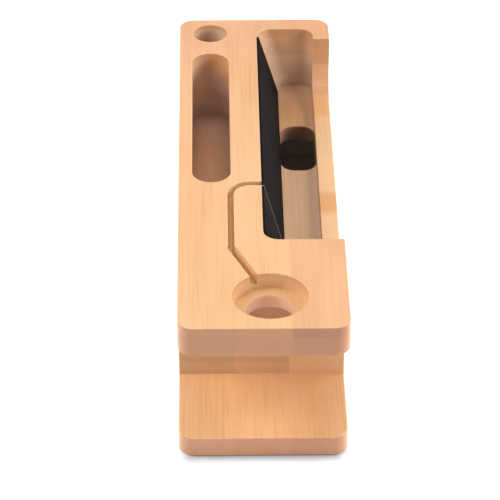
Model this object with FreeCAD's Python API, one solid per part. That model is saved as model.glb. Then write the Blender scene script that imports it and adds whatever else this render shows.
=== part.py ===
import FreeCAD, Part
import math
import os

# A bamboo desk organizer with a seat for a watch charger, a leaning device slot, a pen slot and a pen hole.
# Millimetres. +Y runs from the watch end to the pen end, +X faces the user over the low lip of the device slot,
# +Z is up. The origin is on the table, under the middle of the block.

# Block
body_length = 238.0
body_width = 68.0
corner_radius = 6.5      # upright corners
edge_round = 0.4         # sanded edges and pocket rims

# Layers, from the table up
base_thickness = 8.9
riser_height = 17.4
floor_thickness = 10.5
middle_thickness = 13.05
deck_thickness = 13.65

# Watch end: an arm over the base board, with the charger's seat and the hole under it
arm_reach = 42.3
seat_diameter = 30.4
seat_depth = 7.0
seat_hole_diameter = 19.2
seat_hole_round = 2.0    # under the arm
seat_x = 2.8
seat_from_watch_end = 21.8

# Device slot, with a leaning back wall and a low lip in front
slot_near_wall = 18.6    # wood between the riser's face and the slot
slot_far_wall = 8.55     # wood between the slot and the pen end
slot_mouth_width = 25.8
slot_floor_width = 16.45
slot_corner_radius = 6.3
slot_corner_share = 0.47  # a corner takes up no more than this share of the cable hole's width
lip_width = 7.45
lip_height = 3.5         # from the slot's floor to the lip's top
lip_step = 8.95          # full height left at the slot's far end
lip_cove_radius = 12.5   # hollow curve from the lip up to the full height
lip_cove_bite = 0.3      # how far the coves run out under the lip's level

# Cable way: a hole in the slot's floor, a chamber under it and an outlet at the back
cable_hole_length = 36.5
cable_hole_from_slot_end = 35.65
cable_hole_back_gap = 0.63
outlet_length = 22.0
outlet_height = 9.0

# Groove for the watch charger's cable, from the seat to the device slot
groove_width = 2.6
groove_depth = 5.0
groove_flare = 0.15      # sanded edges of the groove
groove_line_x = -12.28
groove_turn_radius = 8.0
groove_start_width = 3.4  # of the run that leaves the seat
groove_slant = 23.5      # degrees, of that run
groove_seat_angle = 25.2  # degrees, where it meets the seat's wall
groove_from_slot_end = 41.1

# Pens
pen_side_wall = 5.7
pen_slot_width = 16.3
pen_slot_length = 104.9
pen_slot_from_pen_end = 29.9
pen_hole_diameter = 15.1
pen_hole_from_pen_end = 12.1
pen_floor = 4.5          # wood left under the pens

# Liner of the slot's back wall, in two pieces
pad_thickness = 1.0
pad_gap = 0.3            # from the deck's level and from the slot's round corners
pad_floor_gap = 0.4
pad_seam = 0.25
pad_seam_slant = 10.0    # degrees

# Risers, dowels, screws and feet
riser_length = 30.0
dowel_diameter = 5.0
dowel_riser_bite = 12.0
dowel_deck_bite = 8.0
dowel_edge = 10.0        # from the block's sides to the near pair
dowel_clearance = 0.1
dowel_end_room = 0.5
dowel_chamfer = 0.6
screw_head_diameter = 7.4
screw_head_land = 0.4
screw_shank_diameter = 3.9
screw_length = 18.0
screw_tip = 4.0
screw_tip_diameter = 0.5
screw_set_back = 0.3
screw_clearance = 0.05
screw_from_foot = 10.0   # across the block, between a foot's middle and a screw's
driver_span = 4.4
driver_width = 0.9
driver_depth = 1.4
foot_diameter = 10.0
foot_thickness = 1.5
foot_seat_depth = 1.0
foot_clearance = 0.1
foot_round = 0.5
foot_from_side = 8.0
foot_from_end = 11.0

# Levels
foot_stand = foot_thickness - foot_seat_depth
base_bottom = foot_stand
base_top = base_bottom + base_thickness
riser_top = base_top + riser_height
floor_top = riser_top + floor_thickness
middle_top = floor_top + middle_thickness
deck_top = middle_top + deck_thickness

# Places along and across the block
back_x = -body_width / 2
front_x = body_width / 2
watch_end = -body_length / 2
pen_end = body_length / 2
riser_face = watch_end + arm_reach
seat_y = watch_end + seat_from_watch_end
slot_near = riser_face + slot_near_wall
slot_far = pen_end - slot_far_wall
slot_front = front_x - lip_width
slot_back = slot_front - slot_mouth_width
slot_floor = floor_top - lip_height
slot_floor_back = slot_front - slot_floor_width
slot_lean = math.atan2(slot_floor_back - slot_back, deck_top - slot_floor)
lip_far = slot_far - lip_step
cable_hole_far = slot_far - cable_hole_from_slot_end
cable_hole_near = cable_hole_far - cable_hole_length
cable_hole_back = slot_floor_back + cable_hole_back_gap
slot_corner = min(slot_corner_radius, slot_corner_share * (slot_front - cable_hole_back))
cove_reach = lip_cove_radius - math.sqrt(lip_cove_bite * (2 * lip_cove_radius - lip_cove_bite))
groove_start_x = seat_x - seat_diameter / 2 * math.sin(math.radians(groove_seat_angle))
groove_start_y = seat_y + seat_diameter / 2 * math.cos(math.radians(groove_seat_angle))
groove_bend_y = groove_start_y + (groove_start_x - groove_line_x) / math.tan(math.radians(groove_slant))
groove_mouth_y = slot_near + groove_from_slot_end
pen_x = back_x + pen_side_wall + pen_slot_width / 2
pen_slot_far = pen_end - pen_slot_from_pen_end
pen_slot_near = pen_slot_far - pen_slot_length
pen_hole_y = pen_end - pen_hole_from_pen_end
pen_bottom = riser_top + pen_floor
chamber_near = riser_face + riser_length
chamber_far = pen_end - riser_length

near_dowel_y = riser_face + slot_near_wall / 2
far_dowel_x = (slot_back + slot_front) / 2
far_dowel_y = pen_end - slot_far_wall / 2
dowel_places = [
    (back_x + dowel_edge, near_dowel_y),
    (front_x - dowel_edge, near_dowel_y),
    (far_dowel_x, far_dowel_y),
]
near_screw_y = riser_face + riser_length / 2
far_screw_y = pen_end - riser_length / 2
screw_x = front_x - foot_from_side - screw_from_foot
screw_places = [(side * screw_x, y) for y in (near_screw_y, far_screw_y) for side in (-1, 1)]
foot_places = {
    "foot_near_left": (back_x + foot_from_side, watch_end + foot_from_end),
    "foot_near_right": (front_x - foot_from_side, watch_end + foot_from_end),
    "foot_far_left": (back_x + foot_from_side, pen_end - foot_from_end),
    "foot_far_right": (front_x - foot_from_side, pen_end - foot_from_end),
}

overshoot = 5.0          # how far a cutting shape runs past the face that it opens
same = 1e-6


def point(x, y, z=0.0):
    return FreeCAD.Vector(x, y, z)


def block(x_from, x_to, y_from, y_to, z_from, z_to):
    return Part.makeBox(x_to - x_from, y_to - y_from, z_to - z_from, point(x_from, y_from, z_from))


def cylinder(diameter, x, y, z_from, z_to):
    return Part.makeCylinder(diameter / 2, z_to - z_from, point(x, y, z_from))


def at_level(edge, z):
    box = edge.BoundBox
    return abs(box.ZMin - z) < same and abs(box.ZMax - z) < same


def upright_at(edge, y):
    box = edge.BoundBox
    return box.ZLength > same and box.XLength < same and abs(box.YMin - y) < same and abs(box.YMax - y) < same


def round_edges(shape, radius, wanted):
    return shape.makeFillet(radius, [edge for edge in shape.Edges if wanted(edge)])


def round_uprights(shape, radius, y):
    return round_edges(shape, radius, lambda edge: upright_at(edge, y))


def cut_all(shape, tools):
    for tool in tools:
        shape = shape.cut(tool)
    return shape


def stadium(width, x, y_from, y_to, z_from, z_to):
    radius = width / 2
    near = point(x, y_from + radius, z_from)
    far = point(x, y_to - radius, z_from)
    side = point(radius, 0)
    end = point(0, radius)
    edges = [
        Part.LineSegment(near + side, far + side).toShape(),
        Part.Arc(far + side, far + end, far - side).toShape(),
        Part.LineSegment(far - side, near - side).toShape(),
        Part.Arc(near - side, near - end, near + side).toShape(),
    ]
    return Part.Face(Part.Wire(edges)).extrude(point(0, 0, z_to - z_from))


def device_slot():
    # Section of the slot, carried up past the deck along the leaning wall
    top = deck_top + overshoot
    top_back = slot_back - overshoot * math.tan(slot_lean)
    section = Part.makePolygon([
        point(top_back, slot_near, top),
        point(slot_front, slot_near, top),
        point(slot_front, slot_near, slot_floor),
        point(slot_floor_back, slot_near, slot_floor),
        point(top_back, slot_near, top),
    ])
    slot = Part.Face(section).extrude(point(0, slot_far - slot_near, 0))
    return round_edges(slot, slot_corner, lambda edge: edge.BoundBox.ZLength > same)


def lip_opening():
    # Open over the lip, with a cove at each end
    inside = slot_front - slot_corner
    bottom = floor_top - lip_cove_bite
    opening = block(inside, front_x + overshoot, slot_near, lip_far, bottom, deck_top + overshoot)
    return round_edges(opening, lip_cove_radius,
                       lambda edge: at_level(edge, bottom) and edge.BoundBox.YLength < same)


def pen_slot():
    return stadium(pen_slot_width, pen_x, pen_slot_near, pen_slot_far, pen_bottom, deck_top + overshoot)


def pen_hole():
    return cylinder(pen_hole_diameter, pen_x, pen_hole_y, pen_bottom, deck_top + overshoot)


def charger_seat():
    seat = cylinder(seat_diameter, seat_x, seat_y, deck_top - seat_depth, deck_top + overshoot)
    hole = cylinder(seat_hole_diameter, seat_x, seat_y, middle_top - overshoot, deck_top)
    return seat.fuse(hole)


def groove_start():
    # Wider, flat run out of the seat, slanted to where the groove bends along the block
    run_length = math.hypot(groove_start_x - groove_line_x, groove_bend_y - groove_start_y)
    run = stadium(groove_start_width, 0, -overshoot, run_length + groove_start_width / 2,
                  deck_top - groove_depth, deck_top + overshoot)
    run.rotate(point(0, 0), point(0, 0, 1), groove_slant)
    run.translate(point(groove_start_x, groove_start_y))
    return run


def groove_path():
    # Straight run along the block, quarter turn into the device slot
    start = point(groove_line_x, groove_bend_y)
    turn_in = point(groove_line_x, groove_mouth_y - groove_turn_radius)
    turn_middle = point(groove_line_x + groove_turn_radius * (1 - math.cos(math.pi / 4)),
                        groove_mouth_y - groove_turn_radius * (1 - math.sin(math.pi / 4)))
    turn_out = point(groove_line_x + groove_turn_radius, groove_mouth_y)
    mouth = point(slot_back + groove_depth * math.tan(slot_lean) + overshoot, groove_mouth_y)
    edges = [
        Part.LineSegment(start, turn_in).toShape(),
        Part.Arc(turn_in, turn_middle, turn_out).toShape(),
        Part.LineSegment(turn_out, mouth).toShape(),
    ]
    wire = Part.Wire(edges)
    wire.translate(point(0, 0, deck_top))
    return wire


def cable_groove():
    # Round bottom and flared edges, drawn across the start of the path
    path = groove_path()
    start = path.OrderedVertexes[0].Point
    across = point(1, 0)
    up = point(0, 0, 1)
    half = groove_width / 2
    flared = half + groove_flare

    def at(sideways, height):
        return start + across * sideways + up * height

    spring = half - groove_depth
    corners = [
        at(half, spring),
        at(half, -groove_flare),
        at(flared, 0),
        at(flared, overshoot),
        at(-flared, overshoot),
        at(-flared, 0),
        at(-half, -groove_flare),
        at(-half, spring),
    ]
    edges = [Part.LineSegment(a, b).toShape() for a, b in zip(corners, corners[1:])]
    edges.append(Part.Arc(at(-half, spring), at(0, -groove_depth), at(half, spring)).toShape())
    return path.makePipeShell([Part.Wire(edges)], True, False)


def dowel_holes():
    diameter = dowel_diameter + 2 * dowel_clearance
    bottom = riser_top - dowel_riser_bite - dowel_end_room
    top = middle_top + dowel_deck_bite + dowel_end_room
    return [cylinder(diameter, x, y, bottom, top) for x, y in dowel_places]


def alignment_dowels():
    dowels = []
    for x, y in dowel_places:
        dowel = cylinder(dowel_diameter, x, y, riser_top - dowel_riser_bite, middle_top + dowel_deck_bite)
        ends = [edge for edge in dowel.Edges if edge.BoundBox.ZLength < same]
        dowels.append(dowel.makeChamfer(dowel_chamfer, ends))
    return Part.makeCompound(dowels)


def screw_body(x, y, spare):
    # Turned outline of a countersunk screw, point up
    shank = screw_shank_diameter / 2 + spare
    head = screw_head_diameter / 2 + spare
    bottom = base_bottom + screw_set_back - spare
    shoulder = bottom + screw_head_land + head - shank
    tip = base_bottom + screw_set_back + screw_length + spare
    outline = Part.makePolygon([
        point(0, 0, bottom),
        point(head, 0, bottom),
        point(head, 0, bottom + screw_head_land),
        point(shank, 0, shoulder),
        point(shank, 0, tip - screw_tip),
        point(screw_tip_diameter / 2, 0, tip),
        point(0, 0, tip),
        point(0, 0, bottom),
    ])
    screw = Part.Face(outline).revolve(point(0, 0), point(0, 0, 1), 360)
    screw.translate(point(x, y))
    return screw


def base_screws():
    screws = []
    for x, y in screw_places:
        screw = screw_body(x, y, 0.0)
        bottom = base_bottom + screw_set_back
        for long_x, long_y in ((driver_span, driver_width), (driver_width, driver_span)):
            screw = screw.cut(block(x - long_x / 2, x + long_x / 2, y - long_y / 2, y + long_y / 2,
                                    bottom, bottom + driver_depth))
        screws.append(screw)
    return Part.makeCompound(screws)


def screw_holes():
    holes = []
    for x, y in screw_places:
        mouth = cylinder(screw_head_diameter + 2 * screw_clearance, x, y, base_bottom - overshoot,
                         base_bottom + screw_set_back)
        holes += [screw_body(x, y, screw_clearance), mouth]
    return holes


def foot(x, y):
    pad = cylinder(foot_diameter, x, y, 0.0, foot_thickness)
    return round_edges(pad, foot_round, lambda edge: at_level(edge, 0.0))


def foot_seats():
    diameter = foot_diameter + 2 * foot_clearance
    return [cylinder(diameter, x, y, base_bottom - overshoot, foot_thickness) for x, y in foot_places.values()]


def deck_board():
    arm = block(back_x, front_x, watch_end, riser_face, middle_top, deck_top)
    arm = round_uprights(arm, corner_radius, watch_end)
    arm = round_edges(arm, edge_round,
                      lambda edge: at_level(edge, middle_top) and edge.CenterOfMass.y < riser_face - same)
    rest = block(back_x, front_x, riser_face, pen_end, middle_top, deck_top)
    rest = round_uprights(rest, corner_radius, pen_end)
    deck = arm.fuse(rest).removeSplitter()
    deck = cut_all(deck, [device_slot(), lip_opening(), pen_slot(), pen_hole(), charger_seat()])
    deck = round_edges(deck, edge_round, lambda edge: at_level(edge, deck_top))
    under_seat = point(seat_x, seat_y, middle_top)
    deck = round_edges(deck, seat_hole_round, lambda edge: (edge.CenterOfMass - under_seat).Length < same)
    return cut_all(deck, [groove_start(), cable_groove()] + dowel_holes())


def riser_outline_board(z_from, z_to):
    board = block(back_x, front_x, riser_face, pen_end, z_from, z_to)
    board = round_uprights(board, corner_radius, pen_end)
    return round_uprights(board, edge_round, riser_face)


def middle_board():
    board = riser_outline_board(floor_top, middle_top)
    return cut_all(board, [device_slot(), lip_opening(), pen_slot(), pen_hole()] + dowel_holes())


def lip_edge_strip(x, inward):
    # What sanding takes off one long edge of the lip, between the coves: a square strip less a quarter round
    centre = x + inward * edge_round
    low = floor_top - edge_round
    near = slot_near + cove_reach
    far = lip_far - cove_reach
    strip = block(min(x, centre), max(x, centre), near, far, low, floor_top)
    bar = Part.makeCylinder(edge_round, far - near, point(centre, near, low), point(0, 1, 0))
    return strip.cut(bar)


def cable_hole():
    hole = block(cable_hole_back, slot_front, cable_hole_near, cable_hole_far,
                 riser_top - overshoot, slot_floor + overshoot)
    return round_edges(hole, slot_corner, lambda edge: edge.BoundBox.ZLength > same)


def floor_board():
    board = riser_outline_board(riser_top, floor_top)
    board = cut_all(board, [device_slot(), pen_slot(), pen_hole(), cable_hole()])
    board = cut_all(board, [lip_edge_strip(front_x, -1), lip_edge_strip(slot_front, 1)])
    return cut_all(board, dowel_holes())


def near_riser():
    riser = block(back_x, front_x, riser_face, chamber_near, base_top, riser_top)
    riser = round_uprights(riser, edge_round, riser_face)
    return cut_all(riser, dowel_holes() + screw_holes())


def far_riser():
    riser = block(back_x, front_x, chamber_far, pen_end, base_top, riser_top)
    riser = round_uprights(riser, corner_radius, pen_end)
    return cut_all(riser, dowel_holes() + screw_holes())


def front_rail():
    return block(slot_front, front_x, chamber_near, chamber_far, base_top, riser_top)


def rear_rail():
    rail = block(back_x, back_x + lip_width, chamber_near, chamber_far, base_top, riser_top)
    middle_y = (cable_hole_near + cable_hole_far) / 2
    middle_z = (base_top + riser_top) / 2
    outlet = stadium(outlet_height, 0, -outlet_length / 2, outlet_length / 2, -overshoot, lip_width + overshoot)
    outlet.rotate(point(0, 0), point(0, 1, 0), 90)
    outlet.translate(point(back_x, middle_y, middle_z))
    return rail.cut(outlet)


def base_board():
    tongue = block(back_x, front_x, watch_end, riser_face, base_bottom, base_top)
    tongue = round_uprights(tongue, corner_radius, watch_end)
    tongue = round_edges(tongue, edge_round,
                         lambda edge: at_level(edge, base_top) and edge.CenterOfMass.y < riser_face - same)
    rest = block(back_x, front_x, riser_face, pen_end, base_bottom, base_top)
    rest = round_uprights(rest, corner_radius, pen_end)
    board = tongue.fuse(rest).removeSplitter()
    board = round_edges(board, edge_round, lambda edge: at_level(edge, base_bottom))
    return cut_all(board, foot_seats() + screw_holes())


def wall_point(y, down, out):
    # A point beside the leaning wall: down along the wall from the deck's level, and out from it
    x = slot_back + down * math.sin(slot_lean) + out * math.cos(slot_lean)
    z = deck_top - down * math.cos(slot_lean) + out * math.sin(slot_lean)
    return point(x, y, z)


def backrest_pad(seam_side):
    # The liner is cut along a slanted seam beside the groove's mouth
    top = pad_gap / math.cos(slot_lean)
    bottom = (deck_top - slot_floor - pad_floor_gap) / math.cos(slot_lean)
    seam = groove_mouth_y - groove_width / 2 - pad_seam + seam_side * pad_seam / 2
    drift = math.tan(math.radians(pad_seam_slant))
    end = slot_far - slot_corner - pad_gap
    if seam_side < 0:
        end = slot_near + slot_corner + pad_gap
    corners = [(seam - top * drift, top), (seam - bottom * drift, bottom), (end, bottom), (end, top)]
    places = [wall_point(y, down, 0.0) for y, down in corners]
    outline = Part.makePolygon(places + places[:1])
    out = wall_point(0, 0, pad_thickness) - wall_point(0, 0, 0)
    return Part.Face(outline).extrude(out)


parts = {
    "deck_board": deck_board(),
    "middle_board": middle_board(),
    "floor_board": floor_board(),
    "near_riser": near_riser(),
    "far_riser": far_riser(),
    "front_rail": front_rail(),
    "rear_rail": rear_rail(),
    "base_board": base_board(),
    "backrest_pad_long": backrest_pad(1),
    "backrest_pad_short": backrest_pad(-1),
    "alignment_dowels": alignment_dowels(),
    "base_screws": base_screws(),
}
for name, (x, y) in foot_places.items():
    parts[name] = foot(x, y)

os.makedirs("parts", exist_ok=True)
for name, shape in parts.items():
    shape.exportStep(os.path.join("parts", name + ".step"))
    print(name, len(shape.Solids), "solid", shape.isValid(), round(shape.Volume))
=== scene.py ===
import math

import bpy
from mathutils import Matrix, Vector


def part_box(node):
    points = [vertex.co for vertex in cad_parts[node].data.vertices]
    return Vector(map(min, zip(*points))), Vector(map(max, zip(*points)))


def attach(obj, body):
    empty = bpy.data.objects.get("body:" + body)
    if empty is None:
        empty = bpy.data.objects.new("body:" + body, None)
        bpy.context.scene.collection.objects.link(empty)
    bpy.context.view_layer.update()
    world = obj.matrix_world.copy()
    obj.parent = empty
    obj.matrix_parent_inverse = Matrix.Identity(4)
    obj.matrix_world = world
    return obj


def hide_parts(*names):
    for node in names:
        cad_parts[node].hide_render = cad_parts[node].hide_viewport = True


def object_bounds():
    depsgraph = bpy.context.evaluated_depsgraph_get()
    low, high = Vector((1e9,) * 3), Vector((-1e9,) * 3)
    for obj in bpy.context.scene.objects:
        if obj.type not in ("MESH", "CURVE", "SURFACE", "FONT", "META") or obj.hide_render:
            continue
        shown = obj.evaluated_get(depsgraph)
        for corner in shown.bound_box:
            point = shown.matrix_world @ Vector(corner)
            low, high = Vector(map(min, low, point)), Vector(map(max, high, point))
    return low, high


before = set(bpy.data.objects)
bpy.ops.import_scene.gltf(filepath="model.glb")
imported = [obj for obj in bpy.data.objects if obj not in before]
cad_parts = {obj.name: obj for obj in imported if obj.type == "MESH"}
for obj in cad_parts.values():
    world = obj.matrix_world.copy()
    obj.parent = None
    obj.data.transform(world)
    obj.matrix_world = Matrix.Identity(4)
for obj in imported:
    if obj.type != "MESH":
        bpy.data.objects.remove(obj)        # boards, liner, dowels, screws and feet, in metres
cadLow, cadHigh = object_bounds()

# A bamboo desk organizer: stacked boards, a black lined device slot, pen pockets, a seat for a watch charger
print("frame loaded:", len(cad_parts), "nodes")


def mm(value):           # millimetres to Blender's metres
    return value / 1000


def toLinear(hexColour):  # sRGB hex to the linear colour that nodes and lamps take
    channels = [int(hexColour[i:i + 2], 16) / 255 for i in (1, 3, 5)]
    return tuple(c / 12.92 if c <= 0.04045 else ((c + 0.055) / 1.055) ** 2.4 for c in channels) + (1.0,)


def addNode(tree, kind, inputs=None, **settings):
    node = tree.nodes.new(kind)
    for name, value in settings.items():
        setattr(node, name, value)
    for name, value in (inputs or {}).items():
        if isinstance(value, bpy.types.Node):
            value = value.outputs[0]
        if isinstance(value, bpy.types.NodeSocket):
            tree.links.new(value, node.inputs[name])
        else:
            node.inputs[name].default_value = value
    return node


def newMaterial(name):
    material = bpy.data.materials.new(name)
    material.use_nodes = True
    material.node_tree.nodes.clear()
    return material, material.node_tree


def surfacePlace(tree):  # a point's place in mm, and the way that the surface faces there
    place = addNode(tree, "ShaderNodeTexCoord")
    inMm = addNode(tree, "ShaderNodeVectorMath", {0: place.outputs["Object"], "Scale": 1000.0},
                   operation="SCALE")
    return inMm, place.outputs["Normal"]


def seenDirectly(tree):  # 1 for what the camera sees, also by gloss or through glass, 0 for bounced light
    path = addNode(tree, "ShaderNodeLightPath")
    seen = addNode(tree, "ShaderNodeMath", {0: path.outputs["Is Camera Ray"],
                                            1: path.outputs["Is Glossy Ray"]}, operation="MAXIMUM")
    return addNode(tree, "ShaderNodeMath", {0: seen, 1: path.outputs["Is Transmission Ray"]},
                   operation="MAXIMUM")


def setRamp(node, stops, interpolation="LINEAR"):
    ramp = node.color_ramp
    ramp.interpolation = interpolation
    while len(ramp.elements) < len(stops):
        ramp.elements.new(1.0)
    for element, (position, colour) in zip(ramp.elements, stops):
        element.position = position
        element.color = colour
    return node


def dress(piece, material):
    piece.data.materials.clear()
    piece.data.materials.append(material)


# Plain-pressed bamboo: strips 22.6 mm wide glued side by side and in layers, sanded and sealed with a clear
# satin lacquer. The eye gets straw wood with fine long fibre streaks along the strips, a tone of its own for
# each strip, a thin cross line where a culm had a node, dots on the end grain, walls greyed with depth in the
# pockets as a painted haze over their shade, and a soft sheen.
bamboo = {
    "stripEdges": (-11.3, 11.3),    # mm across the block
    "glueLine": 0.22,               # mm
    "fibre": (0.9, 70.0),           # mm across and along
    "pore": (0.45, 26.0),
    "streak": (0.85, 32.0),         # sparse and dark
    "patch": (13.0, 75.0),
    "poreBand": (0.58, 0.78),       # noise at which a pore begins and is full
    "streakBand": (0.54, 0.76),
    "lotScale": 97.0,               # these two set the patterns of the strips apart
    "lotShift": 60.0,
    "nodeSpacing": 260.0,           # mm between the culm's nodes
    "nodeLine": 0.6,
    "nodeHalo": 4.0,
    "nodeWaver": 6.0,
    "staggerScale": 20.0,           # a strip's or layer's tone times this and the stagger moves its nodes
    "fibreShade": 0.75,             # how far each of these moves the tone
    "patchShade": 0.5,
    "poreShade": -0.16,
    "glueShade": -0.12,
    "haloShade": 0.3,               # of the node's own shade
    "farReach": (45.0, 110.0),      # mm along the block, where a board's far tone comes in
    "darkest": 0.4,                 # tone of the pores' colour
    "pale": "#e6b98b",
    "straw": "#dca976",
    "rosy": "#e0a37c",
    "rosyMost": 0.6,
    "tan": "#c68d56",
    "poreColour": "#a56d3e",
    "endFacing": (0.1, 0.95),       # how far a face looks along the block where end grain begins and is full
    "endMost": (0.3, 0.75),         # on cut walls and on sawn ends
    "endLots": (0.3, 1.85),         # spread and level of the shades of end grain
    "endDot": (0.95, 50.0),         # mm between bundles on the end grain, and along them
    "endDotBand": (0.42, 0.12),
    "endDotMost": 0.35,
    "endDotColour": "#875a3c",
    "wearAndHighlight": "#f0cfa4",              # rounded edges, paler: partly sanded through the colour, partly a painted highlight
    "wornFacing": (0.38, 0.6, 0.85, 0.97),
    "upright": 0.7,                 # a wall looks up or down no more than this
    "outlineRim": (0.6, 0.15, 4.4),    # mm in from a board's left, right and ends, past which walls are cut
    "cutTone": 0.4,                 # share of the strips' tones that cut walls show
    "milled": "#cfbdac",            # deep cut walls, greyed with depth: partly raw wood that no lacquer reached, partly a painted pale haze over their shade
    "milledDepth": (2.0, 27.0),     # mm under the deck, where that grey begins and where it is full
    "milledMost": 0.7,
    "milledTo": 26.7,               # mm across the block, up to the lip
    "penPaintedHaze": "#cdbcb8",         # the same in the narrow pen pockets
    "penDepth": (6.0, 17.0),
    "penMost": 0.95,
    "penTo": -11.5,
    "hollow": "#c8c6c4",            # the cable chamber's insides, neutral grey so that their deep shade reads neutral: a painted cast of shade
    "darkPlyAndPaintedShade": "#2b1c10",          # painted shade on the cable hole's walls, on the rail under it and on the board's end under the arm, and a darker ply of the arm's end
    "paintedHoleShade": "#a96d45",           # painted shade, browner, high on the cable hole's walls and in the seat's hole
    "paintedLight": "#f3dcc8",             # painted light: paler wood on walls of the pen pockets and on the slot's far corner
    "turned": "#f8d7a6",            # and in the charger seat and the cable groove
    "dustAndPaintedLight": "#f4cca4",             # painted light on the slot's floor, at its far end and along the lip
    "warm": "#dd9a5a",              # darker lengths of the lip, and painted shade low on the pen slot's right wall
    "honey": "#efbc87",             # the lip's palest length
    "blush": "#da9a80",             # pinker wood towards the pen end
    "roughness": 0.42,
    "endRough": 0.12,               # what end grain, worn edges and pores add to it
    "wornRough": 0.15,
    "poreRough": 0.18,
    "lacquer": (0.5, 0.3),          # weight and roughness
    "bump": 0.05,                   # mm, deepest pore
    "bumpStrength": 0.5,
}

# Each board: layer edges in mm above the table, tones of layers and of strips, tones of layers on cut walls,
# wear of rounded edges, strength of dark streaks, rosiness of strips, colour of end grain and its tones by
# strip, tone that comes in towards the pen end, lot of wood, place of the culm's nodes in mm, how far they
# are apart from strip to strip, how dark they are, and strength of fibres and pores.
boards = {
    "deck_board": {
        "layers": (52.0, 59.1), "layerTones": (-0.06, -0.07, 0.02), "stripTones": (0.02, 0.02, -0.18),
        "wallTones": (0.05, 0.05, -0.04), "wear": 1.0, "streaks": 0.08, "rosy": (0.25, 0.1, 0.8),
        "end": "#a87150", "endTones": (-0.05, 0.02, -0.1), "farTone": -0.09, "seed": 3.0,
        "nodeAt": 72.0, "stagger": 67.0, "nodeShade": 0.04, "grain": 0.5},
    # its right strip's end is paler: partly its own tone, partly painted light on the lower part of the slot's
    # step face
    "middle_board": {
        "layers": (39.3, 46.0), "layerTones": (0.0, 0.04, 0.0), "stripTones": (0.0, -0.03, 0.0),
        "wallTones": (0.1, 0.02, 0.1), "wear": 0.0, "streaks": 0.2, "rosy": (0.3, 0.2, 0.5),
        "end": "#a87354", "endTones": (0.0, 0.04, 0.4), "farTone": 0.0, "seed": 11.0,
        "nodeAt": -31.0, "stagger": 58.0, "nodeShade": 0.2, "grain": 0.7},
    # its upper layer, the lip, is paler: painted light that stands in for light the deck keeps off it
    "floor_board": {
        "layers": (35.2,), "layerTones": (0.0, 0.32), "stripTones": (0.0, 0.0, 0.0),
        "wallTones": (0.0, 0.1), "wear": 1.0, "streaks": 0.08, "rosy": (0.3, 0.3, 0.2),
        "end": "#a87354", "endTones": (0.0, 0.0, 0.0), "farTone": -0.36, "seed": 17.0,
        "nodeAt": 3.0, "stagger": -6.91, "nodeShade": 0.25, "grain": 0.5},
    # paler to the right and in its lowest layer: partly its strips' own tones, partly painted light from the
    # right and from the base below
    "near_riser": {
        "layers": (15.2, 21.0), "layerTones": (0.04, -0.03, -0.02), "stripTones": (0.0, 0.05, 0.12),
        "wallTones": (0.0, 0.0, 0.0), "wear": 1.0, "streaks": 0.2, "rosy": (0.2, 0.2, 0.2),
        "end": "#ac8668", "endTones": (0.1, 0.28, 0.75), "farTone": 0.0, "seed": 23.0,
        "nodeAt": 9.0, "stagger": 71.0, "nodeShade": 0.2, "grain": 0.8},
    "far_riser": {
        "layers": (15.2, 21.0), "layerTones": (0.02, -0.03, 0.03), "stripTones": (0.02, -0.02, 0.0),
        "wallTones": (0.0, 0.0, 0.0), "wear": 1.0, "streaks": 0.25, "rosy": (0.2, 0.4, 0.3),
        "end": "#a87354", "endTones": (0.05, -0.03, 0.08), "farTone": 0.0, "seed": 29.0,
        "nodeAt": 60.0, "stagger": 71.0, "nodeShade": 0.3, "grain": 0.8},
    "front_rail": {
        "layers": (15.2, 21.0), "layerTones": (0.03, -0.02, 0.01), "stripTones": (0.0, 0.0, 0.0),
        "wallTones": (0.0, 0.0, 0.0), "wear": 1.0, "streaks": 0.25, "rosy": (0.2, 0.2, 0.2),
        "end": "#a87354", "endTones": (0.0, 0.0, 0.0), "farTone": 0.0, "seed": 31.0,
        "nodeAt": 41.0, "stagger": 33.0, "nodeShade": 0.3, "grain": 0.8},
    "rear_rail": {
        "layers": (15.2, 21.0), "layerTones": (-0.02, 0.03, -0.01), "stripTones": (0.0, 0.0, 0.0),
        "wallTones": (0.0, 0.0, 0.0), "wear": 1.0, "streaks": 0.25, "rosy": (0.3, 0.3, 0.3),
        "end": "#a87354", "endTones": (0.0, 0.0, 0.0), "farTone": 0.0, "seed": 37.0,
        "nodeAt": -12.0, "stagger": 33.0, "nodeShade": 0.3, "grain": 0.8},
    "base_board": {
        "layers": (5.2,), "layerTones": (0.0, 0.03), "stripTones": (0.06, 0.01, 0.05),
        "wallTones": (0.0, 0.0), "wear": 1.0, "streaks": 0.22, "rosy": (0.0, 0.1, 0.2),
        "end": "#a87358", "endTones": (0.22, 0.17, 0.11), "farTone": 0.0, "seed": 43.0,
        "nodeAt": 75.0, "stagger": 62.0, "nodeShade": 0.2, "grain": 0.55},
}

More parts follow.
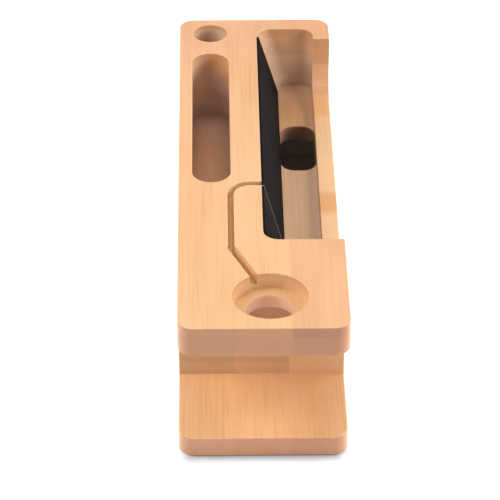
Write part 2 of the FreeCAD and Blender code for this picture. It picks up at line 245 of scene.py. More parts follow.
# Places on the part, as limits: an axis, where it is out and where it is fully in. These are in mm, and for
# right and up they say how far the surface faces that way.
spots = {
    "cableHole": (("x", 26.8, 26.7), ("y", 36.0, 36.1), ("y", 77.0, 76.9)),
    "chamber": (("z", 26.9, 26.8), ("z", 9.0, 9.3), ("x", -26.9, -26.8), ("x", 26.9, 26.8),
                ("y", -47.1, -47.0), ("y", 89.4, 89.3)),
    "underCableHole": (("x", 26.7, 26.6), ("y", 25.0, 35.0), ("y", 88.0, 78.0)),
    "penHole": (("z", 63.9, 61.0), ("x", -28.6, -28.5), ("x", -11.7, -11.8), ("y", 98.4, 98.5),
                ("y", 115.4, 115.3)),
    "penSlotFar": (("x", -28.6, -28.5), ("x", -11.7, -11.8), ("y", 40.0, 80.0), ("y", 95.1, 95.0)),
    "penFloor": (("z", 32.0, 31.6), ("z", 31.0, 31.2), ("x", -11.7, -11.8), ("y", 95.1, 95.0)),
    "seat": (("z", 63.9, 61.0), ("z", 56.0, 56.5), ("x", -13.1, -13.0), ("x", 18.7, 18.6),
             ("y", -113.1, -113.0), ("y", -81.3, -81.4)),
    "seatHole": (("z", 56.0, 51.5), ("x", -7.0, -6.9), ("x", 12.6, 12.5), ("y", -107.0, -106.9),
                 ("y", -87.4, -87.5)),
    "deckFace": (("up", 0.5, 0.9), ("z", 63.0, 63.5)),
    "groove": (("z", 63.9, 63.3), ("z", 58.6, 58.9), ("x", -14.2, -14.0)),
    "slotFloor": (("z", 34.6, 34.0), ("z", 33.4, 33.6), ("x", 26.8, 26.7)),
    "slotCorner": (("right", 0.1, 0.6), ("x", 0.0, 0.5), ("x", 14.0, 11.0), ("y", 103.0, 104.0),
                   ("y", 112.1, 112.0)),
    "lipInside": (("right", -0.5, -0.9), ("z", 33.7, 33.9), ("x", 26.3, 26.5), ("x", 27.0, 26.8)),
    "lip": (("z", 35.1, 35.3), ("x", 26.5, 26.6)),
    "armPly": (("x", 11.2, 11.4), ("z", 59.0, 59.2), ("z", 63.7, 63.5), ("y", -112.5, -117.5)),
    "underArm": (("y", -76.4, -76.6),),
}
topBoards = ("deck_board", "middle_board")
chamberSides = ("floor_board", "near_riser", "far_riser", "front_rail", "rear_rail")

# Soft-edged colours on the boards, in the order that they are laid on: colour, most of it, boards, place, and
# limits within that place
zones = (
    # painted shade: a browner band high on the cable hole's walls
    ("paintedHoleShade", 0.75, ("floor_board",), "cableHole",
     (("z", 33.7, 33.2), ("z", 28.0, 31.5), ("x", 9.0, 9.1))),
    # painted shade deepening down the cable hole's walls, its lit left part left paler
    ("darkPlyAndPaintedShade", 0.57, ("floor_board",), "cableHole", (("z", 33.6, 28.5), ("x", 11.8, 14.8))),
    # painted cast of shade: the chamber's insides greyed so that their deep shade reads neutral
    ("hollow", 0.92, chamberSides, "chamber", ()),
    ("hollow", 0.72, ("base_board",), "chamber", ()),
    # painted shade on the rail seen through the cable hole
    ("darkPlyAndPaintedShade", 0.6, ("front_rail",), "underCableHole", ()),
    # painted light in the pen hole
    ("paintedLight", 0.4, ("deck_board",), "penHole", ()),
    # painted light on the pen slot's left wall
    ("paintedLight", 0.85, topBoards, "penSlotFar", (("right", 0.0, 0.6), ("z", 63.5, 54.0))),
    # painted shade on the upper part of the pen slot's right wall
    ("tan", 0.6, topBoards, "penSlotFar", (("right", -0.1, -0.8), ("z", 62.0, 57.0), ("z", 46.0, 52.0))),
    # painted shade, darker, low on the pen slot's right wall
    ("warm", 0.35, topBoards, "penSlotFar", (("right", -0.1, -0.8), ("z", 52.0, 46.0), ("z", 38.0, 43.0))),
    # painted light on the near part of the pen slot's floor
    ("paintedLight", 0.15, ("floor_board",), "penFloor", (("x", -20.0, -14.0), ("y", -15.1, -15.0))),
    # painted haze over the shade on the far part of the pen slot's floor
    ("penPaintedHaze", 0.5, ("floor_board",), "penFloor", (("x", -28.6, -28.5), ("y", 45.0, 85.0))),
    ("turned", 0.26, ("deck_board",), "seat", ()),
    # paler towards the near end of the deck's top
    ("wearAndHighlight", 0.1, ("deck_board",), "deckFace", (("y", -40.0, -80.0),)),
    # painted light on the far end of the slot's floor
    ("dustAndPaintedLight", 0.75, ("floor_board",), "slotFloor",
     (("x", 8.0, 9.0), ("y", 92.0, 108.0), ("y", 112.1, 112.0))),
    # a little painted haze over the shade of the slot's floor
    ("milled", 0.1, ("floor_board",), "slotFloor", (("x", 8.0, 9.0),)),
    # painted light on the slot's floor along the lip, where the lip's shadow falls
    ("dustAndPaintedLight", 0.3, ("floor_board",), "slotFloor", (("x", 18.5, 25.5),)),
    ("warm", 0.65, ("floor_board",), "lipInside", ()),
    ("honey", 0.6, ("floor_board",), "lip", (("y", 46.5, 45.5),)),
    ("warm", 0.55, ("floor_board",), "lip", (("y", 76.0, 79.0), ("y", 112.1, 112.0))),
    ("warm", 0.85, ("floor_board",), "lip", (("y", 17.5, 13.0), ("y", -3.0, 3.0))),
    # painted light on the slot's far corner
    ("paintedLight", 0.2, topBoards, "slotCorner", ()),
    ("turned", 0.48, ("deck_board",), "groove",
     (("x", -2.9, -3.6), ("y", -84.5, -84.0), ("y", -60.0, -61.0))),
    ("turned", 0.5, ("deck_board",), "groove",
     (("x", 0.6, 0.4), ("y", -61.0, -60.0), ("y", -15.4, -15.6))),
    # the wood's own darker upper ply on the arm end's right strip
    ("darkPlyAndPaintedShade", 0.17, ("deck_board",), "armPly", ()),
    ("blush", 0.3, ("deck_board",), "deckFace", (("y", 70.0, 100.0), ("x", 11.4, 11.2))),
    # painted shade, browner, on the walls of the seat's hole
    ("paintedHoleShade", 0.22, ("deck_board",), "seatHole", ()),
    # painted shade on the board's end under the arm, deeper on its right strip
    ("darkPlyAndPaintedShade", 0.12, ("middle_board",), "underArm", ()),
    ("darkPlyAndPaintedShade", 0.16, ("middle_board",), "underArm", (("x", 4.0, 12.0),)),
)


def laminatedBamboo(node, board):
    material, tree = newMaterial("lacquered_bamboo_" + node)
    low, high = 1000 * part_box(node)[0], 1000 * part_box(node)[1]
    deckTop = 1000 * cadHigh.z
    none, most = (0, 0, 0, 1), (1, 1, 1, 1)
    inMm, normal = surfacePlace(tree)
    facing = addNode(tree, "ShaderNodeSeparateXYZ", {0: normal})
    axes = addNode(tree, "ShaderNodeSeparateXYZ", {0: inMm})
    x, y, z = axes.outputs["X"], axes.outputs["Y"], axes.outputs["Z"]

    # which strip and which layer, as tones round 0.5, with a glue line between neighbours
    found = []
    lines = []
    for coordinate, lowest, highest, edges in ((x, low.x, high.x, bamboo["stripEdges"]),
                                               (z, low.z, high.z, board["layers"])):
        size = highest - lowest
        along = addNode(tree, "ShaderNodeMapRange", {"Value": coordinate, "From Min": lowest,
                                                     "From Max": highest})
        starts = [max(0.0, min(1.0, (edge - lowest) / size)) for edge in edges]
        found.append((along, starts))
        half = bamboo["glueLine"] / size
        stops = []
        for start in starts:
            stops += [(start - half, none), (start, most), (start + half, none)]
        lines.append(setRamp(addNode(tree, "ShaderNodeValToRGB", {0: along}), stops))
    strips, layers = found
    greys = {}
    for name, (along, starts), middle, share in (("stripTones", strips, 0.5, 1.0),
                                                 ("rosy", strips, 0.0, 1.0),
                                                 ("endTones", strips, 0.5, 0.5),
                                                 ("layerTones", layers, 0.5, 1.0),
                                                 ("wallTones", layers, 0.5, 1.0)):
        shades = [middle + share * tone for tone in board[name]]
        stops = [(start, (shade,) * 3 + (1.0,)) for start, shade in zip([0.0] + starts, shades)]
        greys[name] = setRamp(addNode(tree, "ShaderNodeValToRGB", {0: along}), stops, "CONSTANT")
    bothTones = addNode(tree, "ShaderNodeMath", {0: greys["stripTones"], 1: greys["layerTones"]},
                        operation="ADD")
    glue = addNode(tree, "ShaderNodeMath", {0: lines[0], 1: lines[1]}, operation="MAXIMUM")
    own = addNode(tree, "ShaderNodeMath", {0: bothTones, 1: bamboo["lotScale"], 2: board["seed"]},
                  operation="MULTIPLY_ADD")
    chance = addNode(tree, "ShaderNodeTexWhiteNoise", {"W": own}, noise_dimensions="1D")
    shift = addNode(tree, "ShaderNodeVectorMath", {0: chance.outputs["Color"], "Scale": bamboo["lotShift"]},
                    operation="SCALE")

    # walls that a router cut: upright, and in from the board's own outline, where strips and layers show less
    milled = addNode(tree, "ShaderNodeMath", {0: facing.outputs["Z"], 1: 0.0, 2: bamboo["upright"]},
                     operation="COMPARE")
    left, right, end = bamboo["outlineRim"]
    for coordinate, lowest, highest in ((x, low.x + left, high.x - right), (y, low.y + end, high.y - end)):
        within = addNode(tree, "ShaderNodeMath", {0: coordinate, 1: (lowest + highest) / 2,
                                                  2: (highest - lowest) / 2}, operation="COMPARE")
        milled = addNode(tree, "ShaderNodeMath", {0: milled, 1: within}, operation="MULTIPLY")
    uncut = addNode(tree, "ShaderNodeMath", {0: 1.0, 1: milled}, operation="SUBTRACT")
    glueShown = addNode(tree, "ShaderNodeMath", {0: glue, 1: uncut}, operation="MULTIPLY")
    step = addNode(tree, "ShaderNodeMath", {0: bothTones, 1: 1.0}, operation="SUBTRACT")
    keep = addNode(tree, "ShaderNodeMath", {0: uncut, 1: 1 - bamboo["cutTone"], 2: bamboo["cutTone"]},
                   operation="MULTIPLY_ADD")
    stepShown = addNode(tree, "ShaderNodeMath", {0: step, 1: keep, 2: 1.0}, operation="MULTIPLY_ADD")

    # fibres, pores and slow patches all run along the strips
    grains = {}
    for kind, detail in (("fibre", 3.0), ("pore", 1.0), ("streak", 1.0), ("patch", 2.0)):
        acrossSize, alongSize = bamboo[kind]
        scaled = addNode(tree, "ShaderNodeVectorMath",
                         {0: inMm, 1: (1 / acrossSize, 1 / alongSize, 1 / acrossSize), 2: shift},
                         operation="MULTIPLY_ADD")
        grains[kind] = addNode(tree, "ShaderNodeTexNoise", {"Vector": scaled, "Scale": 1.0, "Detail": detail})
    bands = []
    for kind in ("pore", "streak"):
        start, full = bamboo[kind + "Band"]
        band = addNode(tree, "ShaderNodeMapRange", {"Value": grains[kind], "From Min": start,
                                                    "From Max": full})
        bands.append(band)
    pores, streaks = bands

    # the culm's node: a thin wavering line across the strip, with a paler halo
    waver = addNode(tree, "ShaderNodeMath", {0: grains["patch"], 1: bamboo["nodeWaver"], 2: y},
                    operation="MULTIPLY_ADD")
    phase = addNode(tree, "ShaderNodeMath", {0: step, 1: board["stagger"] * bamboo["staggerScale"], 2: waver},
                    operation="MULTIPLY_ADD")
    away = addNode(tree, "ShaderNodeMath", {0: phase, 1: board["nodeAt"]}, operation="SUBTRACT")
    fromNode = addNode(tree, "ShaderNodeMath", {0: away, 1: bamboo["nodeSpacing"] / 2}, operation="PINGPONG")
    nodeMarks = []
    for reach in (bamboo["nodeLine"], bamboo["nodeHalo"]):
        mark = addNode(tree, "ShaderNodeMapRange", {"Value": fromNode, "From Min": reach, "From Max": 0.0},
                       interpolation_type="SMOOTHSTEP")
        nodeMarks.append(mark)
    nodeLine, nodeHalo = nodeMarks

    # one tone from 0, dark, to 1, pale
    start, full = bamboo["farReach"]
    farther = addNode(tree, "ShaderNodeMapRange", {"Value": y, "From Min": start, "From Max": full})
    tone = stepShown
    for source, middle, amount in ((grains["fibre"], 0.5, bamboo["fibreShade"] * board["grain"]),
                                   (grains["patch"], 0.5, bamboo["patchShade"]),
                                   (pores, 0.0, bamboo["poreShade"] * board["grain"]),
                                   (streaks, 0.0, -board["streaks"]),
                                   (nodeLine, 0.0, -board["nodeShade"]),
                                   (nodeHalo, 0.0, bamboo["haloShade"] * board["nodeShade"]),
                                   (farther, 0.0, board["farTone"]),
                                   (glueShown, 0.0, bamboo["glueShade"])):
        part = addNode(tree, "ShaderNodeMath", {0: source, 1: middle}, operation="SUBTRACT")
        tone = addNode(tree, "ShaderNodeMath", {0: part, 1: amount, 2: tone}, operation="MULTIPLY_ADD")
    centred = addNode(tree, "ShaderNodeMath", {0: tone, 1: bamboo["darkest"]}, operation="SUBTRACT")
    colour = setRamp(addNode(tree, "ShaderNodeValToRGB", {0: centred}),
                     [(0.0, toLinear(bamboo["poreColour"])), (0.3, toLinear(bamboo["tan"])),
                      (0.6, toLinear(bamboo["straw"])), (0.9, toLinear(bamboo["pale"]))])
    rosyShare = addNode(tree, "ShaderNodeMath", {0: greys["rosy"], 1: bamboo["rosyMost"]},
                        operation="MULTIPLY")
    colour = addNode(tree, "ShaderNodeMix", {0: rosyShare, 6: colour, 7: toLinear(bamboo["rosy"])},
                     data_type="RGBA").outputs[2]

    # end grain: darker, dotted with cut fibre bundles
    endOn = addNode(tree, "ShaderNodeMath", {0: facing.outputs["Y"]}, operation="ABSOLUTE")
    start, full = bamboo["endFacing"]
    ending = addNode(tree, "ShaderNodeMapRange", {"Value": endOn, "From Min": start, "From Max": full})
    wide, long = bamboo["endDot"]
    onEnd = addNode(tree, "ShaderNodeVectorMath", {0: inMm, 1: (1 / wide, 1 / long, 1 / wide)},
                    operation="MULTIPLY")
    bundles = addNode(tree, "ShaderNodeTexVoronoi", {"Vector": onEnd, "Scale": 1.0})
    start, full = bamboo["endDotBand"]
    dots = addNode(tree, "ShaderNodeMapRange", {"Value": bundles.outputs["Distance"], "From Min": start,
                                                "From Max": full, "To Max": bamboo["endDotMost"]})
    dotted = addNode(tree, "ShaderNodeMix", {0: dots, 6: toLinear(board["end"]),
                                             7: toLinear(bamboo["endDotColour"])}, data_type="RGBA")
    spread, level = bamboo["endLots"]
    lot = addNode(tree, "ShaderNodeMath", {0: chance.outputs["Value"], 1: spread, 2: level},
                  operation="MULTIPLY_ADD")
    perLayer = addNode(tree, "ShaderNodeMath", {0: greys["layerTones"], 1: 0.5}, operation="ADD")
    perStrip = addNode(tree, "ShaderNodeMath", {0: greys["endTones"], 1: lot}, operation="MULTIPLY")
    shade = addNode(tree, "ShaderNodeMath", {0: perStrip, 1: perLayer}, operation="MULTIPLY")
    endColour = addNode(tree, "ShaderNodeVectorMath", {0: dotted.outputs[2], "Scale": shade},
                        operation="SCALE")
    onCut, onSawn = bamboo["endMost"]
    sawn = addNode(tree, "ShaderNodeMath", {0: uncut, 1: onSawn - onCut, 2: onCut}, operation="MULTIPLY_ADD")
    endShare = addNode(tree, "ShaderNodeMath", {0: ending, 1: sawn}, operation="MULTIPLY")
    colour = addNode(tree, "ShaderNodeMix", {0: endShare, 6: colour, 7: endColour},
                     data_type="RGBA").outputs[2]

    # edges that are sanded round show paler wood, partly a painted highlight
    rounded = setRamp(addNode(tree, "ShaderNodeValToRGB", {0: facing.outputs["Z"]}),
                      list(zip(bamboo["wornFacing"], (none, most, most, none))))
    wornWood = addNode(tree, "ShaderNodeMath", {0: grains["fibre"], 1: board["wear"]}, operation="MULTIPLY")
    wornShare = addNode(tree, "ShaderNodeMath", {0: rounded, 1: wornWood}, operation="MULTIPLY")
    colour = addNode(tree, "ShaderNodeMix", {0: wornShare, 6: colour, 7: toLinear(bamboo["wearAndHighlight"])},
                     data_type="RGBA").outputs[2]

    # cut walls show the plies, and deep in the pockets they are greyed with depth, a painted haze over their
    # shade
    ply = addNode(tree, "ShaderNodeMath", {0: greys["wallTones"], 1: 0.5}, operation="SUBTRACT")
    plyShade = addNode(tree, "ShaderNodeMath", {0: ply, 1: milled, 2: 1.0}, operation="MULTIPLY_ADD")
    for name, pocket in (("milled", "milled"), ("penPaintedHaze", "pen")):
        start, full = bamboo[pocket + "Depth"]
        depth = addNode(tree, "ShaderNodeMapRange",
                        {"Value": z, "From Min": deckTop - start, "From Max": deckTop - full,
                         "To Max": bamboo[pocket + "Most"]})
        side = addNode(tree, "ShaderNodeMath", {0: x, 1: bamboo[pocket + "To"]}, operation="LESS_THAN")
        here = addNode(tree, "ShaderNodeMath", {0: depth, 1: side}, operation="MULTIPLY")
        paintedHazeShare = addNode(tree, "ShaderNodeMath", {0: milled, 1: here}, operation="MULTIPLY")
        colour = addNode(tree, "ShaderNodeMix", {0: paintedHazeShare, 6: colour, 7: toLinear(bamboo[name])},
                         data_type="RGBA").outputs[2]
    colour = addNode(tree, "ShaderNodeVectorMath", {0: colour, "Scale": plyShade},
                     operation="SCALE").outputs[0]

    # places with a colour of their own
    axis = {"x": x, "y": y, "z": z, "right": facing.outputs["X"], "up": facing.outputs["Z"]}
    for name, share, where, spot, limits in zones:
        if node in where:
            for along, out, full in spots[spot] + limits:
                within = addNode(tree, "ShaderNodeMapRange", {"Value": axis[along], "From Min": out,
                                                              "From Max": full})
                share = addNode(tree, "ShaderNodeMath", {0: within, 1: share}, operation="MULTIPLY")
            colour = addNode(tree, "ShaderNodeMix", {0: share, 6: colour, 7: toLinear(bamboo[name])},
                             data_type="RGBA").outputs[2]

    # the lacquer lies thinner on ends, worn edges and pores
    rough = bamboo["roughness"]
    for source, more in ((ending, "endRough"), (wornShare, "wornRough"), (pores, "poreRough")):
        rough = addNode(tree, "ShaderNodeMath", {0: source, 1: bamboo[more], 2: rough},
                        operation="MULTIPLY_ADD")
    relief = addNode(tree, "ShaderNodeMath", {0: grains["fibre"], 1: pores}, operation="SUBTRACT")
    bump = addNode(tree, "ShaderNodeBump", {"Height": relief, "Strength": bamboo["bumpStrength"],
                                            "Distance": mm(bamboo["bump"])})
    lacquer, lacquerRough = bamboo["lacquer"]
    shader = addNode(tree, "ShaderNodeBsdfPrincipled",
                     {"Base Color": colour, "Roughness": rough, "Normal": bump, "IOR": 1.5,
                      "Coat Weight": lacquer, "Coat Roughness": lacquerRough})
    addNode(tree, "ShaderNodeOutputMaterial", {"Surface": shader})
    return material


for node, board in boards.items():
    dress(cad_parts[node], laminatedBamboo(node, board))
print("bamboo boards dressed:", len(boards))


# Foam rubber sheet, skived and die cut: near black and quite matt, with a fine even grain, faint blotches of
# dust, and paler cut ends at the seam that are partly a painted highlight.
liner = {
    "lean": 17.2,        # degrees, of the slot's back wall
    "thickness": 1.0,    # mm
    "seamSlant": 10.0,   # degrees
    "edgeRound": 0.3,    # mm
    "edgeSteps": 3,
    "grain": 0.55,       # mm, drawn coarser than the real 0.2 mm so that it shows
    "dust": 9.0,         # mm
    "dustBand": (0.35, 0.75),    # noise at which the dust begins and is full
    "colour": "#131112",
    "dustAndPaintedLight": "#1a1819",
    "cut": "#8b8680",    # paler cut ends along the seam: partly the core, partly a painted highlight on the seam
    "cutFacing": (0.15, 0.5),
    "seamReach": 4.5,    # mm
    "roughness": 0.82,
    "dustRough": 0.12,   # what dust adds to it
    "specular": 0.08,
    "bump": 0.08,        # mm
    "bumpStrength": 0.45,
}


def foamRubber():
    material, tree = newMaterial("skived_foam_rubber_liner")
    inMm, normal = surfacePlace(tree)
    cells = addNode(tree, "ShaderNodeTexVoronoi", {"Vector": inMm, "Scale": 1 / liner["grain"]})
    dust = addNode(tree, "ShaderNodeTexNoise", {"Vector": inMm, "Scale": 1 / liner["dust"], "Detail": 3.0})
    start, full = liner["dustBand"]
    blotch = addNode(tree, "ShaderNodeMapRange", {"Value": dust, "From Min": start, "From Max": full})
    colour = addNode(tree, "ShaderNodeMix", {0: blotch, 6: toLinear(liner["colour"]),
                                             7: toLinear(liner["dustAndPaintedLight"])}, data_type="RGBA")

    # the pale cut ends by the seam: partly the core, partly a painted highlight
    facing = addNode(tree, "ShaderNodeSeparateXYZ", {0: normal})
    endOn = addNode(tree, "ShaderNodeMath", {0: facing.outputs["Y"]}, operation="ABSOLUTE")
    start, full = liner["cutFacing"]
    cut = addNode(tree, "ShaderNodeMapRange", {"Value": endOn, "From Min": start, "From Max": full})
    seamMiddle = 1000 * (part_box("backrest_pad_short")[1].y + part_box("backrest_pad_long")[0].y) / 2
    along = addNode(tree, "ShaderNodeSeparateXYZ", {0: inMm})
    bySeam = addNode(tree, "ShaderNodeMath", {0: along.outputs["Y"], 1: seamMiddle, 2: liner["seamReach"]},
                     operation="COMPARE")
    cut = addNode(tree, "ShaderNodeMath", {0: cut, 1: bySeam}, operation="MULTIPLY")
    colour = addNode(tree, "ShaderNodeMix", {0: cut, 6: colour.outputs[2], 7: toLinear(liner["cut"])},
                     data_type="RGBA")
    rough = addNode(tree, "ShaderNodeMath", {0: blotch, 1: liner["dustRough"], 2: liner["roughness"]},
                    operation="MULTIPLY_ADD")
    bump = addNode(tree, "ShaderNodeBump", {"Height": cells.outputs["Distance"],
                                            "Strength": liner["bumpStrength"], "Distance": mm(liner["bump"])})
    shader = addNode(tree, "ShaderNodeBsdfPrincipled",
                     {"Base Color": colour.outputs[2], "Roughness": rough, "Normal": bump, "IOR": 1.5,
                      "Specular IOR Level": liner["specular"]})
    addNode(tree, "ShaderNodeOutputMaterial", {"Surface": shader})
    return material


def startPiece():
    if bpy.context.object and bpy.context.object.mode != "OBJECT":
        bpy.ops.object.mode_set(mode="OBJECT")
    bpy.ops.object.select_all(action="DESELECT")


smoothAngle = 40.0       # degrees, sharper edges stay hard


def placePiece(piece, node, material):
    bpy.ops.object.mode_set(mode="OBJECT")
    bpy.ops.object.transform_apply(location=True, rotation=True, scale=True)
    bpy.ops.object.shade_smooth_by_angle(angle=math.radians(smoothAngle))
    dress(piece, material)
    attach(piece, "root")
    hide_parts(node)


def linerSheet(node, material, seamEnd):
    low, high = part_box(node)
    lean = math.radians(liner["lean"])
    slant = math.tan(math.radians(liner["seamSlant"]))
    thick = mm(liner["thickness"])
    down = Vector((math.sin(lean), 0, -math.cos(lean)))
    height = (high.z - low.z - thick * math.sin(lean)) / math.cos(lean)
    middle = (low + high) / 2

    startPiece()
    bpy.ops.mesh.primitive_cube_add(size=1, location=middle, rotation=(0, -lean, 0),
                                    scale=(thick, high.y - low.y, height))
    piece = bpy.context.object
    piece.name = node.replace("_pad", "_liner")
    bpy.ops.object.transform_apply(location=True, rotation=True, scale=True)
    bpy.ops.object.mode_set(mode="EDIT")
    bpy.ops.mesh.select_all(action="SELECT")
    # the seam slants: its plane cuts a far end, 1, from the top corner, and a near end, -1, from the bottom one
    across = (Vector((0, 1, 0)) + down * slant).normalized()
    corner = middle - seamEnd * down * height / 2
    corner.y = high.y if seamEnd > 0 else low.y
    bpy.ops.mesh.bisect(plane_co=corner, plane_no=seamEnd * across, clear_outer=True, use_fill=True)
    bpy.ops.mesh.select_all(action="SELECT")
    bpy.ops.mesh.bevel(offset=mm(liner["edgeRound"]), segments=liner["edgeSteps"], profile=0.5)
    placePiece(piece, node, material)


foam = foamRubber()
linerSheet("backrest_pad_long", foam, -1)
linerSheet("backrest_pad_short", foam, 1)
print("liner sheets made")


# Moulded rubber: black, dull, with the fine pitted skin of its mould and some dust.
foot = {
    "rim": 1.8,          # mm, round the hollow sole
    "hollow": 0.35,      # mm deep, and as wide a slope down to it
    "rimRound": 0.45,    # mm
    "rimSteps": 4,
    "sides": 64,
    "grit": 0.5,         # mm
    "dust": 4.0,         # mm
    "dustBand": (0.45, 0.75),    # noise at which the dust begins and is full
    "colour": "#1d1d1e",
    "dustAndPaintedLight": "#2c2b2a",
    "roughness": 0.68,
    "gritRough": 0.2,    # what grit adds to it
    "bump": 0.05,        # mm
    "bumpStrength": 0.4,
}


def mouldedRubber():
    material, tree = newMaterial("moulded_rubber_feet")
    inMm, _ = surfacePlace(tree)
    grit = addNode(tree, "ShaderNodeTexNoise", {"Vector": inMm, "Scale": 1 / foot["grit"], "Detail": 2.0})
    dust = addNode(tree, "ShaderNodeTexNoise", {"Vector": inMm, "Scale": 1 / foot["dust"]})
    start, full = foot["dustBand"]
    blotch = addNode(tree, "ShaderNodeMapRange", {"Value": dust, "From Min": start, "From Max": full})
    colour = addNode(tree, "ShaderNodeMix", {0: blotch, 6: toLinear(foot["colour"]),
                                             7: toLinear(foot["dustAndPaintedLight"])}, data_type="RGBA")
    rough = addNode(tree, "ShaderNodeMath", {0: grit, 1: foot["gritRough"], 2: foot["roughness"]},
                    operation="MULTIPLY_ADD")
    bump = addNode(tree, "ShaderNodeBump", {"Height": grit, "Strength": foot["bumpStrength"],
                                            "Distance": mm(foot["bump"])})
    shader = addNode(tree, "ShaderNodeBsdfPrincipled", {"Base Color": colour.outputs[2], "Roughness": rough,
                                                        "Normal": bump, "IOR": 1.52})
    addNode(tree, "ShaderNodeOutputMaterial", {"Surface": shader})
    return material


def selectSole(piece):   # the flat face that looks straight down
    bpy.ops.mesh.select_mode(type="FACE")
    bpy.ops.mesh.select_all(action="DESELECT")
    bpy.ops.object.mode_set(mode="OBJECT")
    for polygon in piece.data.polygons:
        polygon.select = polygon.normal.z < -0.999
    bpy.ops.object.mode_set(mode="EDIT")


def rubberFoot(node):
    low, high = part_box(node)
    startPiece()
    bpy.ops.mesh.primitive_cylinder_add(vertices=foot["sides"], radius=(high.x - low.x) / 2,
                                        depth=high.z - low.z, location=(low + high) / 2)
    piece = bpy.context.object
    bpy.ops.object.transform_apply(location=True, rotation=True, scale=True)
    bpy.ops.object.mode_set(mode="EDIT")
    selectSole(piece)
    bpy.ops.mesh.bevel(offset=mm(foot["rimRound"]), segments=foot["rimSteps"])
    selectSole(piece)
    bpy.ops.mesh.inset(thickness=mm(foot["rim"]))
    bpy.ops.mesh.inset(thickness=mm(foot["hollow"]))
    bpy.ops.transform.translate(value=(0, 0, mm(foot["hollow"])))
    bpy.ops.object.mode_set(mode="OBJECT")
    return piece


rubber = mouldedRubber()
firstFoot = rubberFoot("foot_near_left")    # modelled once, and copied to the other corners
feet = {"foot_near_left": firstFoot}
for node in ("foot_near_right", "foot_far_left", "foot_far_right"):
    feet[node] = firstFoot.copy()
    feet[node].data = firstFoot.data.copy()
    feet[node].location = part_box(node)[0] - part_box("foot_near_left")[0]
    bpy.context.collection.objects.link(feet[node])
for node, piece in feet.items():
    startPiece()
    piece.select_set(True)
    bpy.context.view_layer.objects.active = piece
    piece.name = node.replace("foot", "rubber_foot")
    placePiece(piece, node, rubber)
print("feet made:", len(feet))


# Zinc plated steel, rolled and tumbled: bright grey with a faint straw tint and small scuffs.
screwFinish = {
    "colour": "#c9c8c2",
    "tint": "#b5ad97",
    "scuff": 0.8,        # mm
    "roughness": 0.34,
    "scuffRough": 0.2,   # what scuffs add to it
    "bump": 0.05,        # mm
    "bumpStrength": 0.15,
}


def zincSteel():
    material, tree = newMaterial("zinc_plated_screw_steel")
    inMm, _ = surfacePlace(tree)
    scuffs = addNode(tree, "ShaderNodeTexNoise", {"Vector": inMm, "Scale": 1 / screwFinish["scuff"],
                                                  "Detail": 4.0})
    colour = addNode(tree, "ShaderNodeMix", {0: scuffs, 6: toLinear(screwFinish["colour"]),
                                             7: toLinear(screwFinish["tint"])}, data_type="RGBA")
    rough = addNode(tree, "ShaderNodeMath", {0: scuffs, 1: screwFinish["scuffRough"],
                                             2: screwFinish["roughness"]}, operation="MULTIPLY_ADD")
    bump = addNode(tree, "ShaderNodeBump", {"Height": scuffs, "Strength": screwFinish["bumpStrength"],
                                            "Distance": mm(screwFinish["bump"])})
    shader = addNode(tree, "ShaderNodeBsdfPrincipled", {"Base Color": colour.outputs[2], "Roughness": rough,
                                                        "Normal": bump, "Metallic": 1.0})
    addNode(tree, "ShaderNodeOutputMaterial", {"Surface": shader})
    return material


# Beech turned to a pin: close pinkish grain with short dark flecks.
dowelFinish = {
    "colour": "#d8b48a",
    "fleck": "#b98a5e",
    "grain": (0.4, 6.0),     # mm across and along
    "fleckBand": (0.45, 0.7),    # noise at which a fleck begins and is full
    "roughness": 0.6,
    "bump": 0.05,            # mm
    "bumpStrength": 0.3,
}


def turnedBeech():
    material, tree = newMaterial("turned_beech_dowel")
    inMm, _ = surfacePlace(tree)
    thin, long = dowelFinish["grain"]
    upright = addNode(tree, "ShaderNodeVectorMath", {0: inMm, 1: (1 / thin, 1 / thin, 1 / long)},
                      operation="MULTIPLY")
    flecks = addNode(tree, "ShaderNodeTexNoise", {"Vector": upright, "Scale": 1.0, "Detail": 3.0})
    start, full = dowelFinish["fleckBand"]
    shown = addNode(tree, "ShaderNodeMapRange", {"Value": flecks, "From Min": start, "From Max": full})
    colour = addNode(tree, "ShaderNodeMix", {0: shown, 6: toLinear(dowelFinish["colour"]),
                                             7: toLinear(dowelFinish["fleck"])}, data_type="RGBA")
    bump = addNode(tree, "ShaderNodeBump", {"Height": flecks, "Strength": dowelFinish["bumpStrength"],
                                            "Distance": mm(dowelFinish["bump"])})
    shader = addNode(tree, "ShaderNodeBsdfPrincipled", {"Base Color": colour.outputs[2], "Normal": bump,
                                                        "Roughness": dowelFinish["roughness"]})
    addNode(tree, "ShaderNodeOutputMaterial", {"Surface": shader})
    return material


dress(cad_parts["base_screws"], zincSteel())
dress(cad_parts["alignment_dowels"], turnedBeech())
print("screws and dowels dressed")


# Pale floor with a painted contact shadow in front of the base, and soft studio light
stage = {
    "floorSize": 2.4,    # m
    "floor": "#e6e4e1",
    "cameraGain": 1.35,  # how pale the floor looks, so that it reads as white
    "paintedShadowColour": "#bfc6cf",    # painted contact shadow: the floor's colour just in front of the base
    "paintedShadowReach": (0.5, 8.0),    # mm
    "paintedShadowWidth": 0.85,   # of the block's width
    "skyStrength": 0.08,
    "boxes": {           # place in m, width and height in m, power in W
        "softbox_left": ((-0.924, -0.278, 0.871), (1.1, 0.9), 16.5),
        "softbox_right": ((1.115, 0.12, 0.666), (2.0, 0.6), 19.0),
        "softbox_front": ((0.956, -0.956, 0.363), (0.6, 0.4), 5.75),
        "softbox_top": ((0.0, 0.25, 1.2), (0.5, 0.5), 3.0),
    },
}


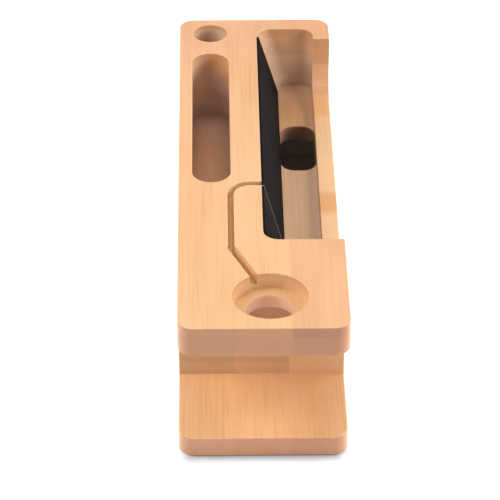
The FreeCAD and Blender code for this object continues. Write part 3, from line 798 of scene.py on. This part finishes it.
def paleFloor():
    material, tree = newMaterial("pale_matt_floor")
    plain = addNode(tree, "ShaderNodeBsdfDiffuse", {"Color": toLinear(stage["floor"])})

    # how far a point of the floor is from the foot of the block's front
    place = addNode(tree, "ShaderNodeTexCoord")
    fromFront = addNode(tree, "ShaderNodeVectorMath", {0: place.outputs["Object"], 1: (0, cadLow.y, 0)},
                        operation="SUBTRACT")
    eachWay = addNode(tree, "ShaderNodeVectorMath", {0: fromFront}, operation="ABSOLUTE")
    halfWidth = stage["paintedShadowWidth"] * cadHigh.x
    pastEnds = addNode(tree, "ShaderNodeVectorMath", {0: eachWay, 1: (halfWidth, 0, 0)}, operation="SUBTRACT")
    outside = addNode(tree, "ShaderNodeVectorMath", {0: pastEnds, 1: (0, 0, 0)}, operation="MAXIMUM")
    apart = addNode(tree, "ShaderNodeVectorMath", {0: outside}, operation="LENGTH")
    near, far = stage["paintedShadowReach"]
    share = addNode(tree, "ShaderNodeMapRange", {"Value": apart.outputs["Value"], "From Min": mm(near),
                                                 "From Max": mm(far)})
    # the floor is shown darker near the base's front: a painted contact shadow
    pale = (stage["cameraGain"],) * 3 + (1.0,)
    paleWithPaintedShadow = addNode(tree, "ShaderNodeMix", {0: share, 6: toLinear(stage["paintedShadowColour"]), 7: pale},
                   data_type="RGBA")
    bright = addNode(tree, "ShaderNodeBsdfDiffuse", {"Color": paleWithPaintedShadow.outputs[2]})
    either = addNode(tree, "ShaderNodeMixShader", {0: seenDirectly(tree), 1: plain, 2: bright})
    addNode(tree, "ShaderNodeOutputMaterial", {"Surface": either})
    return material


startPiece()
bpy.ops.mesh.primitive_plane_add(size=stage["floorSize"], location=(0, 0, 0))
floor = bpy.context.object
floor.name = "floor"
dress(floor, paleFloor())

world = bpy.data.worlds.new("studio")
bpy.context.scene.world = world
world.use_nodes = True
sky = world.node_tree
sky.nodes.clear()
strength = addNode(sky, "ShaderNodeMapRange", {"Value": seenDirectly(sky), "To Min": stage["skyStrength"],
                                               "To Max": 1.0})
backdrop = addNode(sky, "ShaderNodeBackground", {"Color": (1, 1, 1, 1), "Strength": strength})
addNode(sky, "ShaderNodeOutputWorld", {"Surface": backdrop})

for name, (place, size, power) in stage["boxes"].items():
    bpy.ops.object.light_add(type="AREA", location=place)
    box = bpy.context.object
    box.name = name
    box.data.shape = "RECTANGLE"
    box.data.size, box.data.size_y = size
    box.data.energy = power
    box.visible_glossy = False    # no hot spots on the lacquer
    box.rotation_euler = (-Vector(place)).to_track_quat("-Z", "Y").to_euler()
print("floor and lamps set")


# Camera: a long lens from the watch end, looking down on the block
view = {
    "place": (-0.02056, -0.9669, 0.6953),    # m
    "pitch": 35.01,      # degrees down
    "yaw": 1.005,        # degrees towards +X
    "roll": -0.181,
    "focalPixels": 2720.0,
    "imagePixels": 500.0,
    "sensor": 36.0,      # mm
}
turn = Matrix.Rotation(math.radians(-view["yaw"]), 4, "Z")
tilt = Matrix.Rotation(math.radians(90 - view["pitch"]), 4, "X")
lean = Matrix.Rotation(math.radians(-view["roll"]), 4, "Z")
bpy.ops.object.camera_add()
camera = bpy.context.object
camera.matrix_world = Matrix.Translation(view["place"]) @ turn @ tilt @ lean
camera.data.sensor_width = view["sensor"]
camera.data.lens = view["focalPixels"] / view["imagePixels"] * view["sensor"]
camera.data.clip_end = 20.0
bpy.context.scene.camera = camera
bpy.context.scene.view_settings.view_transform = "Standard"
print("camera set, lens", round(camera.data.lens, 1), "mm")
